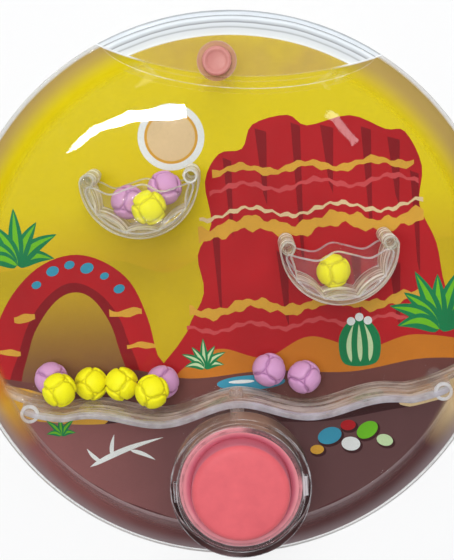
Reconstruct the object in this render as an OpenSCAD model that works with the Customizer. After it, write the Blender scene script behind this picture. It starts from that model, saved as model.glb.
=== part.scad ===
// Handheld water game: a round clear case that lies on its back, face up.
// +Z comes out of the face and +Y points to the filler plug.
// A rubber pump squirts water up through a wavy shelf, and the jet lifts balls into two baskets.

/* [Case] */
// Diameter over the rim flange
case_d = 140; // [132:1:160]
// Height of the seam between the two shells
seam_z = 10.2; // [9.6:0.1:11]
// Wall of the clear shells
wall = 1.6; // [1.4:0.1:1.8]
// Thickness of one rim flange
flange_t = 1.2; // [1:0.1:1.5]
// How far the flange stands out from the dome wall
flange_w = 1; // [0.8:0.1:1.4]
// Wall of the clear tray
tray_wall = 1.9; // [1.6:0.1:2.1]
// Underside of the clear floor
floor_z = 3; // [2.8:0.1:3.4]
// Thickness of the clear floor
floor_t = 1.5; // [1.2:0.1:1.7]

/* [Dome] */
// Height of the centre of the rounded shoulder
shoulder_z = 9; // [8.6:0.1:9.6]
// Radius of the rounded shoulder
shoulder_r = 18; // [17.4:0.1:18.2]
// Radius of the slightly crowned face
crown_r = 900; // [800:50:1200]

/* [Back] */
// Thickness of the picture card
card_t = 0.5; // [0.4:0.05:0.6]
// Gap between the card's edge and the back wall
card_gap = 0.3; // [0.25:0.05:0.5]
// Width of the foot ring under the back cover
foot_w = 7; // [5:0.5:10]
// Depth of the recess inside the foot ring
foot_h = 0.6; // [0.4:0.1:0.9]

/* [Filler pocket] */
// Turn of the pocket from the plug's line
pocket_turn = 5.4; // [4:0.2:7]
// Distance from the case's edge to the foot of the pocket wall
pocket_in = 16.2; // [15.8:0.1:16.6]
// Radius of the pocket wall
pocket_r = 100; // [90:1:110]
// Lean of the pocket wall, in degrees
pocket_lean = 11; // [8:0.5:12]
// Top of the pocket floor
pocket_z = 13.2; // [13:0.1:13.6]
// Distance of the filler port's axis from the case's edge
port_in = 12.4; // [12:0.1:12.6]
// Radius of the boss round the port
boss_r = 4.9; // [4.6:0.1:5]
// Height of the boss over the pocket floor
boss_h = 2.2; // [1.8:0.1:2.4]

/* [Plug] */
// Radius of the plug's stem
plug_stem_r = 3; // [2.8:0.05:3.1]
// Length of the plug's stem
plug_stem_h = 1.2; // [1:0.1:1.4]
// How far the plug's head reaches over the port
plug_lip = 0.5; // [0.4:0.05:0.6]
// Height of the plug's head
plug_head_h = 1.8; // [1.4:0.1:2.4]

/* [Pump] */
// Distance of the pump's axis from the case's edge
pump_in = 22; // [21.8:0.1:22.4]
// Outer radius of the collar
collar_r = 17.5; // [17.3:0.1:17.6]
// Wall of the collar
collar_wall = 1.5; // [1.4:0.05:1.6]
// Top of the collar
collar_z = 27.9; // [27.6:0.1:28.4]
// Height at which the cap's rim is seated
seat_z = 23.9; // [23.6:0.1:24.2]
// Thickness of the seat ledge
seat_t = 1.5; // [1.2:0.1:1.8]
// Inner radius of the seat ledge
seat_r = 13.6; // [13.3:0.1:13.8]
// Wall of the pump barrel
barrel_wall = 1.4; // [1.2:0.1:1.5]
// Radius of the rubber crown
crown_cap_r = 12.3; // [12:0.1:12.5]
// How far the crown still stands over its rim when it is pressed down
pressed_h = 1.5; // [1.2:0.1:2]
// Wall of the rubber cap
rubber_t = 1.6; // [1.4:0.1:1.8]
// Thickness of the rubber rim
rim_t = 1.8; // [1.6:0.1:2]
// Outer radius of the rubber rim
rim_r = 15.4; // [15.2:0.1:15.5]
// Travel of the crown
pump_travel = 5; // [4:0.25:5.5]
// Height of the ring that holds the cap
cap_ring_h = 1.5; // [1.3:0.1:1.6]
// Width of the ring's two lugs
lug_w = 5; // [4:0.25:6]
// Radius of the nozzle tube
nozzle_r = 1.8; // [1.6:0.1:2]
// Radius of the nozzle's bore
nozzle_bore_r = 1; // [0.8:0.1:1.1]
// Height of the nozzle's axis
nozzle_z = 13; // [11:0.5:15]

/* [Shelf] */
// Distance of the shelf's middle line from the pump's axis
shelf_off = 18.1; // [17.8:0.1:18.4]
// Thickness of the shelf
shelf_t = 1.4; // [1.2:0.1:1.6]
// Front edge of the shelf
shelf_z = 23.2; // [21:0.2:23.6]
// Length of one wave
wave_l = 38.5; // [38:0.25:39]
// Height of the wave at the middle
wave_h = 2.3; // [2:0.1:2.5]
// Distance at which the wave would fade out
wave_fade = 120; // [110:5:140]
// Distance from the case's edge at which the shelf's ends begin to rise
rise_in = 27; // [26:0.5:28]
// Slope of the rising ends
rise_slope = 0.5; // [0.44:0.02:0.56]
// Distance of the end posts from the case's edge
post_in = 18.2; // [17.8:0.1:18.6]
// Top of the end posts
post_z = 21.6; // [20.5:0.1:21.8]
// Radius of the end posts
post_r = 1.5; // [1.3:0.1:1.6]
// Wall of the eyelets round the posts
eyelet_wall = 0.8; // [0.7:0.05:0.85]
// Front edge of the shelf's low ends, past the posts
low_end_z = 12; // [11:0.5:13]

/* [Baskets] */
// Outer radius of a basket
basket_r = 14.7; // [14.5:0.1:14.9]
// Wall of a basket's curved side
basket_wall = 1.8; // [1.5:0.1:1.9]
// Thickness of a basket's front and back plates
plate_t = 1.1; // [0.9:0.1:1.3]
// Front face of the baskets
basket_z = 23.8; // [23.4:0.1:24.4]
// Radius of the lobes inside the baskets' lower corners
lobe_r = 1.5; // [1.2:0.1:1.7]
// Turn of the lobes below the horns, in degrees
lobe_turn = 37; // [34:1:40]
// Height of the horns over the baskets' centres
horn_h = 1.2; // [0.8:0.1:1.6]
// Drop of the plates' wavy edge below the horns
lip_drop = 2; // [1.6:0.1:2.4]
// Height of the wavy edge's wave
lip_wave = 0.8; // [0.6:0.05:1]
// Place of the left basket's centre
left_basket_at = [-20.6, 30.2]; // [-80:0.1:80]
// Place of the right basket's centre
right_basket_at = [27.6, 11]; // [-80:0.1:80]
// Radius of the pins that hold the baskets
pin_r = 1; // [0.8:0.05:1.1]

/* [Balls] */
// Radius of a ball
ball_r = 4.4; // [4.2:0.05:4.4]
// Depth of a ball's round grooves
groove_r = 0.22; // [0.15:0.01:0.3]
// Half angle of a ball's round grooves
groove_angle = 41; // [36:1:42]

/* [Clearances] */
// Gap of a fixed round fit, on the radius
fit_gap = 0.05; // [0.03:0.01:0.08]
// Gap between the plug's stem and the port, on the radius
plug_gap = 0.15; // [0.1:0.01:0.2]
// Gap between the rubber crown and its rim, on the radius
crown_gap = 0.3; // [0.25:0.05:0.35]
// Gap between a loose ball and what it lies on
ball_gap = 0.1; // [0.05:0.01:0.15]
// Gap between the inner parts and the dome
dome_gap = 0.3; // [0.3:0.05:0.6]

/* [Hidden] */
$fn = 96;
eps = 0.01;
case_r = case_d / 2;
dome_r = case_r - flange_w;
pocket_y = case_r - pocket_in;
port_y = case_r - port_in;
pump_y = case_r - pump_in;
shelf_y = pump_y - shelf_off;
rise_x = case_r - rise_in;
post_x = case_r - post_in;
chamber_r = dome_r - wall;
inner_r = chamber_r - tray_wall;
skirt_z = 0.4;
floor_top = floor_z + floor_t;
shoulder_x = dome_r - shoulder_r;
crown_x = shoulder_x + 0.8;
crown_cz = shoulder_z - sqrt(pow(crown_r - shoulder_r, 2) - pow(shoulder_x, 2));
tongue_r = (chamber_r + case_r) / 2;
tongue_w = 0.8;
tongue_h = 0.5;
tongue_gap = 0.1;
boss_top = pocket_z + boss_h;
port_r = plug_stem_r + plug_gap;
plug_head_r = port_r + plug_lip;
bore_r = collar_r - collar_wall;
collar_foot_z = 17.6;
rim_top = seat_z + rim_t;
crown_cap_z = rim_top + pump_travel + pressed_h;
crown_foot_z = seat_z - seat_t + 0.1;
barrel_step = 0.6;
cap_ring_grip = 0.9;
barrel_r = seat_r + barrel_step + barrel_wall;
nozzle_boss_h = 2.4;
nozzle_boss_wall = 1.2;
nozzle_tip_y = shelf_t + 0.4 - shelf_mid(0);
lip_l = 1.05 * basket_r;
pump_at = [0, -pump_y, 0];
floor_ball_z = floor_top + ball_r + ball_gap;
low_ball_z = floor_top + plate_t + ball_r + ball_gap;
high_ball_z = basket_z - plate_t - ball_r - ball_gap;
ball_room = basket_r - basket_wall - ball_r - ball_gap;
ball_pass = sqrt(pow(2 * ball_r + ball_gap, 2) - pow(high_ball_z - low_ball_z, 2)) + ball_gap;
pin_off = basket_r - 2.1;
caught_back = left_basket_at + 0.92 * ball_room * [cos(239), sin(239)];
caught_side = caught_back + (2 * ball_r + 1.2) * [cos(18), sin(18)];
ball_yellow_at = [
    on_shelf(-44.6, 1.26, 1.93),
    on_shelf(-37.4, 0.14, 0),
    on_shelf(-29.2, 1.91, 0.82),
    on_shelf(-21.2, 2.5, 1.95),
    [caught_side.x - ball_pass, left_basket_at.y - 0.9 * ball_room, high_ball_z],
    [right_basket_at.x - 0.12 * ball_room, right_basket_at.y - 0.95 * ball_room, low_ball_z]
];
ball_lilac_at = [
    on_shelf(-47.6, 1.88, 0),
    on_shelf(-18.9, 3.03, 0),
    on_shelf(8.8, 2.51, 0),
    on_shelf(17.8, 2.3, 0),
    [caught_back.x, caught_back.y, low_ball_z],
    [caught_side.x, caught_side.y, low_ball_z]
];

// Middle line of the shelf, as a drop from the case's centre
function rise_run(x) = max(0, abs(x) - rise_x);
function shelf_mid(x) = shelf_y - wave_h * (1 - abs(x) / wave_fade) * cos(360 * x / wave_l)
    - rise_slope * pow(rise_run(x), 2) / (rise_run(x) + 2);

// A ball's centre, lifted off the shelf, with its height over the floor as a share of its radius
function on_shelf(x, lift, share) =
    [x, shelf_t / 2 + ball_r + lift - shelf_mid(x), floor_ball_z + share * ball_r];

// Half outline of the domed case, drawn in by a gap
module dome_outline(gap) {
    square([dome_r - gap, shoulder_z]);
    intersection() {
        translate([shoulder_x, shoulder_z])
            circle(shoulder_r - gap);
        square(case_r);
    }
    intersection() {
        translate([0, shoulder_z])
            square([crown_x, shoulder_r + 6]);
        translate([0, crown_cz])
            circle(crown_r - gap, $fn = 1440);
    }
}

module dome_solid(gap) {
    rotate_extrude($fn = 180)
        dome_outline(gap);
}

// Everything beyond the leaning pocket wall, above a height
module pocket_space(z, grow) {
    rotate([0, 0, -pocket_turn])
        intersection() {
            translate([0, pocket_y, pocket_z])
                rotate([pocket_lean, 0, 0])
                    translate([0, pocket_r, -pocket_r])
                        cylinder(h = 2 * pocket_r, r = pocket_r + grow, $fn = 360);
            translate([-case_r, 0, z])
                cube([case_d, case_d, case_r]);
        }
}

module ring(r_out, r_in, h) {
    difference() {
        cylinder(h = h, r = r_out);
        translate([0, 0, -eps])
            cylinder(h = h + 2 * eps, r = r_in);
    }
}

// Clear domed front with the pump collar, the filler pocket and its port
module front_shell() {
    color([0.86, 0.9, 0.93, 0.35])
    difference() {
        union() {
            difference() {
                dome_solid(0);
                translate([0, 0, -eps])
                    cylinder(h = seam_z + eps, r = case_r);
                pocket_space(pocket_z, 0);
            }
            translate([0, 0, seam_z])
                ring(case_r, chamber_r, flange_t);
            translate([0, 0, seam_z - tongue_h + tongue_gap])
                ring(tongue_r + tongue_w / 2, tongue_r - tongue_w / 2, tongue_h);
            translate(pump_at + [0, 0, collar_foot_z])
                cylinder(h = collar_z - collar_foot_z, r = collar_r);
            translate([0, port_y, pocket_z - eps])
                cylinder(h = boss_h + eps, r = boss_r);
        }
        difference() {
            dome_solid(wall);
            pocket_space(pocket_z - wall, wall);
            translate(pump_at + [0, 0, collar_foot_z])
                cylinder(h = 20, r = collar_r);
        }
        translate(pump_at)
            cylinder(h = seat_z - seat_t, r = barrel_r + fit_gap);
        translate(pump_at + [0, 0, seat_z])
            cylinder(h = 20, r = bore_r);
        translate(pump_at + [0, 0, seat_z - seat_t - 1])
            cylinder(h = 4, r = seat_r);
        for (side = [-1, 1])
            translate(pump_at + [side * (bore_r + 0.1), 0, rim_top + cap_ring_h / 2])
                cube([1.4, lug_w, cap_ring_h + 2 * fit_gap], center = true);
        translate([0, port_y, pocket_z - wall - 1])
            cylinder(h = boss_h + wall + 2, r = port_r);
    }
}

// Clear tray behind the balls: floor, skirt, flange, and the posts and pins that carry the parts
module back_shell() {
    color([0.86, 0.9, 0.93, 0.3]) {
        difference() {
            union() {
                translate([0, 0, skirt_z])
                    cylinder(h = seam_z - skirt_z, r = chamber_r);
                translate([0, 0, seam_z - flange_t])
                    cylinder(h = flange_t, r = case_r);
            }
            translate([0, 0, floor_top])
                cylinder(h = seam_z, r = inner_r);
            translate([0, 0, -1])
                cylinder(h = floor_z + 1, r = inner_r);
            translate([0, 0, seam_z - tongue_h])
                ring(tongue_r + tongue_w / 2 + fit_gap, tongue_r - tongue_w / 2 - fit_gap, 1);
        }
        for (side = [-1, 1])
            translate([side * post_x, -shelf_mid(post_x), floor_top - eps])
                cylinder(h = post_z - floor_top + eps, r = post_r);
        for (at = [left_basket_at, right_basket_at], side = [-1, 1])
            translate([at.x + side * pin_off, at.y, floor_top - eps])
                cylinder(h = basket_z - plate_t - floor_top, r = pin_r);
    }
}

// Opaque cover that closes the back and holds the card
module back_cover() {
    color([0.93, 0.93, 0.91])
    difference() {
        cylinder(h = floor_z - card_t, r = inner_r - 4 * fit_gap);
        translate([0, 0, -eps])
            cylinder(h = foot_h + eps, r = inner_r - foot_w);
    }
}

module picture_card() {
    color([0.85, 0.75, 0.12])
    translate([0, 0, floor_z - card_t])
        cylinder(h = card_t, r = inner_r - card_gap);
}

// Wavy shelf with an eyelet at each end and a boss round the nozzle
module wave_shelf() {
    end_x = inner_r - 4.6;
    step = 1.5;
    run = [for (x = [-end_x : step : end_x + eps]) x];
    last = len(run) - 1;
    eyelet_r = post_r + fit_gap + eyelet_wall;
    low_end_x = post_x + eyelet_r + 0.5;
    color([0.88, 0.92, 0.94, 0.5])
    difference() {
        intersection() {
            union() {
                translate([0, 0, floor_top])
                    linear_extrude(shelf_z - floor_top)
                        polygon(concat(
                            [for (i = [0 : last]) [run[i], shelf_t / 2 - shelf_mid(run[i])]],
                            [for (i = [last : -1 : 0]) [run[i], -shelf_t / 2 - shelf_mid(run[i])]]
                        ));
                for (side = [-1, 1])
                    translate([side * post_x, -shelf_mid(post_x), floor_top])
                        cylinder(h = shelf_z - floor_top, r = eyelet_r);
                translate([0, -shelf_mid(0), nozzle_z])
                    rotate([90, 0, 0])
                        cylinder(h = nozzle_boss_h, r = nozzle_r + nozzle_boss_wall);
            }
            dome_solid(wall + dome_gap);
        }
        for (side = [-1, 1]) {
            translate([side * post_x, -shelf_mid(post_x), floor_top - 1])
                cylinder(h = shelf_z, r = post_r + fit_gap);
            translate([side * (low_end_x + case_r / 2), -shelf_mid(post_x), low_end_z + shelf_z / 2])
                cube([case_r, case_r, shelf_z], center = true);
        }
        translate([0, 5 - shelf_mid(0), nozzle_z])
            rotate([90, 0, 0])
                cylinder(h = 10, r = nozzle_r + fit_gap);
    }
}

// Edge of a basket's plates, across its inside
function lip(x) = lip_wave * cos(360 * x / lip_l) - lip_drop;

module basket_plate() {
    reach = basket_r - basket_wall / 2;
    intersection() {
        circle(reach);
        polygon(concat(
            [[-basket_r, -basket_r - 1]],
            [[basket_r, -basket_r - 1]],
            [for (x = [basket_r : -0.6 : -basket_r]) [x, lip(x)]]
        ));
    }
}

// Half-round cup with a wavy front and back, lobes inside its corners and a pin socket in each horn
module basket(at) {
    socket_wall = 0.9;
    socket_r = pin_r + fit_gap + socket_wall;
    tall = basket_z - floor_top;
    translate([at.x, at.y, floor_top])
    difference() {
        union() {
            difference() {
                union() {
                    cylinder(h = tall, r = basket_r);
                    translate([-basket_r, 0, 0])
                        cube([2 * basket_r, horn_h, tall]);
                }
                translate([0, 0, -1])
                    cylinder(h = tall + 2, r = basket_r - basket_wall);
                translate([-basket_r - 1, horn_h, -1])
                    cube([2 * basket_r + 2, 2 * basket_r, tall + 2]);
                translate([-basket_r + basket_wall, 0, -1])
                    cube([2 * (basket_r - basket_wall), 2 * basket_r, tall + 2]);
            }
            for (z = [0, tall - plate_t])
                translate([0, 0, z])
                    linear_extrude(plate_t)
                        basket_plate();
            for (side = [-1, 1])
                translate([side * pin_off, 0, 0])
                    cylinder(h = tall, r = socket_r);
            for (turn = [180 + lobe_turn, -lobe_turn])
                rotate([0, 0, turn])
                    translate([basket_r - lobe_r - 0.6, 0, 0])
                        cylinder(h = tall, r = lobe_r);
        }
        for (side = [-1, 1])
            translate([side * pin_off, 0, -1])
                cylinder(h = tall + 2, r = pin_r + fit_gap);
    }
}

module left_basket() {
    color([0.9, 0.93, 0.95, 0.5])
        basket(left_basket_at);
}

module right_basket() {
    color([0.9, 0.93, 0.95, 0.5])
        basket(right_basket_at);
}

// Chamber under the rubber cap, with a port for the nozzle
module pump_barrel() {
    color([0.88, 0.92, 0.94, 0.5])
    difference() {
        translate(pump_at + [0, 0, floor_top])
            ring(barrel_r, barrel_r - barrel_wall, seat_z - seat_t - floor_top);
        translate([0, -pump_y, nozzle_z])
            rotate([-90, 0, 0])
                cylinder(h = barrel_r + 5, r = nozzle_r + fit_gap);
    }
}

// Short tube from the pump chamber up through the shelf
module pump_nozzle() {
    start_y = -pump_y + barrel_r - barrel_wall;
    color([0.88, 0.92, 0.94, 0.6])
    translate([0, start_y, nozzle_z])
        rotate([-90, 0, 0])
            difference() {
                cylinder(h = nozzle_tip_y - start_y, r = nozzle_r);
                translate([0, 0, -1])
                    cylinder(h = 40, r = nozzle_bore_r);
            }
}

// Fixed rim of the rubber cap
module pump_cap_rim() {
    chamfer = 0.5;
    in_r = crown_cap_r + crown_gap;
    color([0.86, 0.47, 0.55])
    translate(pump_at + [0, 0, seat_z])
        rotate_extrude()
            polygon([
                [in_r, 0], [rim_r, 0], [rim_r, rim_t - chamfer / 2],
                [rim_r - chamfer / 2, rim_t], [in_r + chamfer, rim_t], [in_r, rim_t - chamfer]
            ]);
}

// Moving crown of the rubber cap, hollow below
module pump_cap_crown() {
    edge_r = 2;
    sag = 0.5;
    color([0.92, 0.43, 0.48])
    translate(pump_at)
        difference() {
            rotate_extrude()
                polygon(concat(
                    [[0, crown_foot_z], [crown_cap_r, crown_foot_z]],
                    [for (a = [0 : 15 : 90]) [
                        crown_cap_r - edge_r * (1 - cos(a)),
                        crown_cap_z - sag - edge_r * (1 - sin(a))
                    ]],
                    [[(crown_cap_r - edge_r) / 2, crown_cap_z - sag / 4], [0, crown_cap_z]]
                ));
            translate([0, 0, crown_foot_z - 1])
                cylinder(h = crown_cap_z - rubber_t - sag - crown_foot_z + 1, r = crown_cap_r - rubber_t);
        }
}

// Clear ring with two lugs that keeps the rubber rim on its seat
module cap_ring() {
    color([0.9, 0.93, 0.95, 0.6])
    translate(pump_at + [0, 0, rim_top]) {
        ring(bore_r - fit_gap, rim_r - cap_ring_grip, cap_ring_h);
        for (side = [-1, 1])
            translate([side * bore_r, 0, cap_ring_h / 2])
                cube([1.2, lug_w - 2 * fit_gap, cap_ring_h], center = true);
    }
}

// Soft plug in the filler port
module filler_plug() {
    edge = 0.5;
    dish = 0.3;
    dish_r = plug_head_r - 1.7;
    color([0.88, 0.55, 0.55])
    translate([0, port_y, boss_top]) {
        rotate_extrude()
            polygon([
                [0, 0], [plug_head_r, 0], [plug_head_r, plug_head_h - edge],
                [plug_head_r - edge, plug_head_h], [dish_r + dish, plug_head_h],
                [dish_r, plug_head_h - dish], [0, plug_head_h - dish]
            ]);
        translate([0, 0, -plug_stem_h])
            cylinder(h = plug_stem_h + eps, r = plug_stem_r);
    }
}

// Ball with a round groove about each of its six poles
module ball(at) {
    poles = [[0, 0], [180, 0], [90, 0], [90, 90], [90, 180], [90, 270]];
    translate(at)
        rotate([20, 35, 10 * at.x])
            difference() {
                sphere(ball_r);
                for (p = poles)
                    rotate([p[0], 0, p[1]])
                        rotate_extrude()
                            translate([ball_r * sin(groove_angle), ball_r * cos(groove_angle)])
                                circle(groove_r, $fn = 24);
            }
}

module ball_yellow(i) {
    color([0.98, 0.97, 0.1])
        ball(ball_yellow_at[i - 1]);
}

module ball_lilac(i) {
    color([0.8, 0.6, 0.8])
        ball(ball_lilac_at[i - 1]);
}

front_shell();
back_shell();
back_cover();
picture_card();
wave_shelf();
left_basket();
right_basket();
pump_barrel();
pump_nozzle();
pump_cap_rim();
pump_cap_crown();
cap_ring();
filler_plug();
ball_yellow(1);  // ball_yellow_1
ball_yellow(2);  // ball_yellow_2
ball_yellow(3);  // ball_yellow_3
ball_yellow(4);  // ball_yellow_4
ball_yellow(5);  // ball_yellow_5
ball_yellow(6);  // ball_yellow_6
ball_lilac(1);  // ball_lilac_1
ball_lilac(2);  // ball_lilac_2
ball_lilac(3);  // ball_lilac_3
ball_lilac(4);  // ball_lilac_4
ball_lilac(5);  // ball_lilac_5
ball_lilac(6);  // ball_lilac_6
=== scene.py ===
"""Handheld water game: materials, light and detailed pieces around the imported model."""

import math

import bmesh
import bpy
from mathutils import Matrix, Vector, noise
from mathutils.geometry import delaunay_2d_cdt


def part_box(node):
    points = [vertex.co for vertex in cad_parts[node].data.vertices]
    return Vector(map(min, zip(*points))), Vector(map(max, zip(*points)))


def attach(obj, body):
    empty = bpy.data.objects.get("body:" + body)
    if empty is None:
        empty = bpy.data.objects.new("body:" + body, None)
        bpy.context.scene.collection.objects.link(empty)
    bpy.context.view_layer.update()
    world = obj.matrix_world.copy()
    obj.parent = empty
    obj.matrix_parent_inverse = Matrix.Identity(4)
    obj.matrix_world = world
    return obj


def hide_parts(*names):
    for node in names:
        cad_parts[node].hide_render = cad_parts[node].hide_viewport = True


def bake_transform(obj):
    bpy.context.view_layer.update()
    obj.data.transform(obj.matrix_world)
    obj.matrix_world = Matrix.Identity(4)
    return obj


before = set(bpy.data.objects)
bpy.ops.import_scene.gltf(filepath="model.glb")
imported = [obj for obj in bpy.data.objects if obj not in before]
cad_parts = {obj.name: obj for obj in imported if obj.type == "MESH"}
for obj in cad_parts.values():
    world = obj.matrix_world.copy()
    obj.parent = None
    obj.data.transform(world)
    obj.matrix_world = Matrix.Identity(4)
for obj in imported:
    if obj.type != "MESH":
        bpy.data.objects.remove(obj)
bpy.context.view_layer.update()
scene = bpy.context.scene
MM = 0.001


# Sizes read from the frame

def node_box(name):
    low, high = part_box(name)
    return Vector(low), Vector(high)


CARD_LOW, CARD_HIGH = node_box("picture_card")
CARD_R = (CARD_HIGH.x - CARD_LOW.x) / 2
CROWN_LOW, CROWN_HIGH = node_box("pump_cap_crown")
RIM_LOW, RIM_HIGH = node_box("pump_cap_rim")
PLUG_LOW, PLUG_HIGH = node_box("filler_plug")
SHELF_LOW, SHELF_HIGH = node_box("wave_shelf")
PUMP_AT = (CROWN_LOW + CROWN_HIGH) / 2
PUMP_AT.z = 0


# Camera

IMAGE_HEIGHT_PX = 560
FOCAL_PX = 1422
SENSOR_WIDTH = 36
VIEW_TILT = 8.56
VIEW_SIDE = -0.75
VIEW_ROLL = 3.33
VIEW_DISTANCE = 0.3654
LOOK_AT = Vector((-0.0007, 0.0019, 0.008))


def add_camera():
    """The photograph's view: nearly straight down, tipped towards the plug."""
    back = Vector((-math.tan(math.radians(VIEW_SIDE)), math.tan(math.radians(VIEW_TILT)), 1)).normalized()
    right = (-back).cross(Vector((0, 1, 0))).normalized()
    up = back.cross(right)
    turn = math.radians(VIEW_ROLL)
    side = right * math.cos(turn) - up * math.sin(turn)
    top = right * math.sin(turn) + up * math.cos(turn)
    data = bpy.data.cameras.new("camera")
    data.sensor_width = SENSOR_WIDTH
    data.lens = FOCAL_PX / IMAGE_HEIGHT_PX * SENSOR_WIDTH
    data.clip_start = 0.01
    data.clip_end = 20
    cam = bpy.data.objects.new("camera", data)
    scene.collection.objects.link(cam)
    matrix = Matrix((side, top, back)).transposed().to_4x4()
    matrix.translation = LOOK_AT + back * VIEW_DISTANCE
    cam.matrix_world = matrix
    scene.camera = cam


add_camera()


# Node helpers

def new_material(name):
    mat = bpy.data.materials.new(name)
    mat.use_nodes = True
    mat.node_tree.nodes.clear()
    return mat, mat.node_tree


def feed(tree, socket, value):
    """Links a socket to a node's output, or sets it to a number or a colour."""
    if isinstance(value, bpy.types.NodeSocket):
        tree.links.new(value, socket)
    elif isinstance(value, (int, float)):
        socket.default_value = value
    else:
        socket.default_value = (*value, 1)


def add_node(tree, kind, **inputs):
    """A node with its inputs linked or set; in their names, _ stands for a space."""
    node = tree.nodes.new("ShaderNode" + kind)
    for name, value in inputs.items():
        feed(tree, node.inputs[name.replace("_", " ")], value)
    return node


def surfaced(mat, surface):
    """The material, with a shader as its surface."""
    add_node(mat.node_tree, "OutputMaterial", Surface=surface)
    return mat


def object_point(tree):
    return add_node(tree, "TexCoord").outputs["Object"]


def axes_of(tree, vector=None):
    """X, Y and Z of a vector, or else of the shading point."""
    node = add_node(tree, "SeparateXYZ", Vector=object_point(tree) if vector is None else vector)
    return node.outputs["X"], node.outputs["Y"], node.outputs["Z"]


def noise_node(tree, scale, detail):
    node = add_node(tree, "TexNoise", Vector=object_point(tree), Scale=scale, Detail=detail, Roughness=0.55)
    return node.outputs["Fac"]


def level_noise(tree, scale):
    """Noise drawn out along the face, so that it lies in level bands."""
    flat = add_node(tree, "VectorMath")
    flat.operation = "MULTIPLY"
    flat.inputs[1].default_value = (0.12, 0.12, 1.0)
    tree.links.new(object_point(tree), flat.inputs[0])
    return add_node(tree, "TexNoise", Vector=flat.outputs["Vector"], Scale=scale, Detail=3).outputs["Fac"]


def spread(tree, source, low, high, start=0.3, end=0.7):
    """Maps start to end onto low to high; the usual start and end suit a noise."""
    node = add_node(tree, "MapRange", Value=source, From_Min=start, From_Max=end, To_Min=low, To_Max=high)
    return node.outputs["Result"]


def cloudy(tree, scale, detail, low, high, start=0.3, end=0.7):
    """A cloudy value from low to high."""
    return spread(tree, noise_node(tree, scale, detail), low, high, start, end)


def smooth_step(tree, source, start, end):
    """Goes smoothly from 0 at start to 1 at end."""
    node = add_node(tree, "MapRange", Value=source, From_Min=start, From_Max=end)
    node.interpolation_type = "SMOOTHSTEP"
    return node.outputs["Result"]


def step_mm(tree, source, start, end):
    """The same between two lengths in mm."""
    return smooth_step(tree, source, start * MM, end * MM)


def maths(tree, operation, *values):
    node = add_node(tree, "Math")
    node.operation = operation
    for socket, value in zip(node.inputs, values):
        feed(tree, socket, value)
    return node.outputs[0]


def times(tree, product, *factors):
    for factor in factors:
        product = maths(tree, "MULTIPLY", product, factor)
    return product


def times_plus(tree, value, factor, added):
    return maths(tree, "MULTIPLY_ADD", value, factor, added)


def minus(tree, value, taken):
    return maths(tree, "SUBTRACT", value, taken)


def distance_from(tree, x, y, at):
    """Distance on the face from a point to the shading point."""
    dx = minus(tree, x, at[0])
    dy = minus(tree, y, at[1])
    return maths(tree, "SQRT", maths(tree, "ADD", times(tree, dx, dx), times(tree, dy, dy)))


def facing_of(tree):
    return add_node(tree, "LayerWeight", Blend=0.5).outputs["Facing"]


def seen_from_above(tree, low=0.5, high=0.85):
    """1 for an eye above the face, 0 for one beside it, where the plastic is simply clear."""
    incoming = add_node(tree, "NewGeometry").outputs["Incoming"]
    return smooth_step(tree, axes_of(tree, incoming)[2], low, high)


def mix_colour(tree, factor, first, second, kind="MIX"):
    node = add_node(tree, "Mix")
    node.data_type = "RGBA"
    node.blend_type = kind
    feed(tree, node.inputs[0], factor)
    feed(tree, node.inputs[6], first)
    feed(tree, node.inputs[7], second)
    return node.outputs[2]


def mottled(tree, scale, detail, first, second):
    return mix_colour(tree, cloudy(tree, scale, detail, 0.0, 1.0), first, second)


def ramp_node(tree, factor, stops):
    """A colour ramp with (place, linear colour) stops in rising order."""
    ramp = add_node(tree, "ValToRGB", Fac=factor)
    elements = ramp.color_ramp.elements
    for element, (place, colour) in ((elements[0], stops[0]), (elements[-1], stops[-1])):
        element.position = place
        element.color = (*colour, 1)
    for place, colour in stops[1:-1]:
        elements.new(place).color = (*colour, 1)
    return ramp.outputs["Color"]


def bump(tree, height, strength, distance):
    return add_node(tree, "Bump", Height=height, Strength=strength, Distance=distance).outputs["Normal"]


def plain_shader(tree, kind, colour):
    return add_node(tree, "Bsdf" + kind, Color=colour).outputs["BSDF"]


def mix_shaders(tree, factor, first, second):
    node = add_node(tree, "MixShader", Fac=factor)
    tree.links.new(first, node.inputs[1])
    tree.links.new(second, node.inputs[2])
    return node.outputs["Shader"]


def paint(tree, amount, surface, colour):
    """A matte colour over part of a surface."""
    return mix_shaders(tree, amount, surface, plain_shader(tree, "Diffuse", colour))


def milky_body(tree, tone, through):
    """A matte tone that lets a share of the light through."""
    back_lit = plain_shader(tree, "Translucent", tone)
    return mix_shaders(tree, through, plain_shader(tree, "Diffuse", tone), back_lit)


def linear(r, g, b):
    """An sRGB colour of 0 to 255 as linear light."""
    def one(v):
        v = v / 255
        return v / 12.92 if v <= 0.04045 else ((v + 0.055) / 1.055) ** 2.4
    return one(r), one(g), one(b)


# Mesh helpers

def add_object(name, bm, mats, smooth=True, angle=40):
    mesh = bpy.data.meshes.new(name)
    bm.to_mesh(mesh)
    bm.free()
    for mat in mats:
        mesh.materials.append(mat)
    obj = bpy.data.objects.new(name, mesh)
    scene.collection.objects.link(obj)
    if smooth:
        for poly in mesh.polygons:
            poly.use_smooth = True
        mesh.set_sharp_from_angle(angle=math.radians(angle))
    return obj


def arc(cx, cy, r, start, end, count):
    """Points along an arc, angles in degrees."""
    angles = [math.radians(start + (end - start) * i / count) for i in range(count + 1)]
    return [(cx + r * math.cos(a), cy + r * math.sin(a)) for a in angles]


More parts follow.
